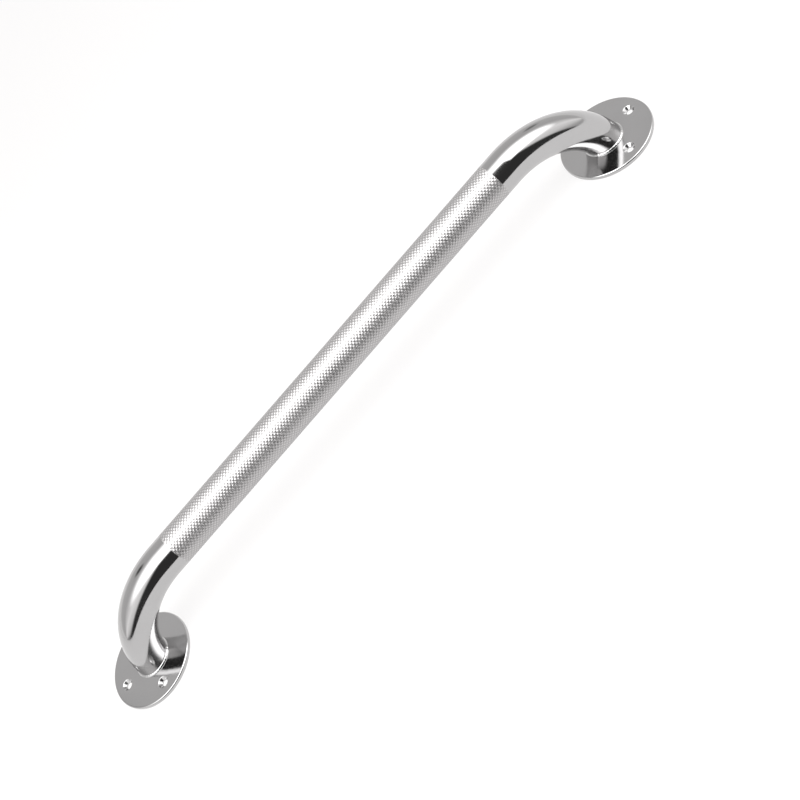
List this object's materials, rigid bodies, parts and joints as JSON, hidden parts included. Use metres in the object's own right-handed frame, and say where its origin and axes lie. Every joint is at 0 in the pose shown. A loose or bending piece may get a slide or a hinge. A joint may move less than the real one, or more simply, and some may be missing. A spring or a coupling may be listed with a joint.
{
  "type": "grab rail",
  "caption": "Straight knurled hand grip on a bent round tube, standing clear of the surface on two round flanges with countersunk screw holes.",
  "frame": {"origin": "on the mounting surface, midway between the two flanges", "axes": "+X along the straight grip, +Z away from the mounting surface, +Y across the rail"},
  "size_m": [0.5222, 0.065, 0.0635],
  "materials": {
    "polished_tube": "bright polished chrome plate on steel, cut by a fine diamond knurl along the grip",
    "polished_flange": "bright polished chrome plate on steel, mirror-like with faint polishing lines",
    "polished_weld": "chrome plate over a dressed weld bead, slightly softer than the tube"
  },
  "bodies": {
    "root": {"rail_tube": "polished_tube", "flange_left": "polished_flange", "flange_right": "polished_flange", "weld_left": "polished_weld", "weld_right": "polished_weld"}
  },
  "joints": []
}
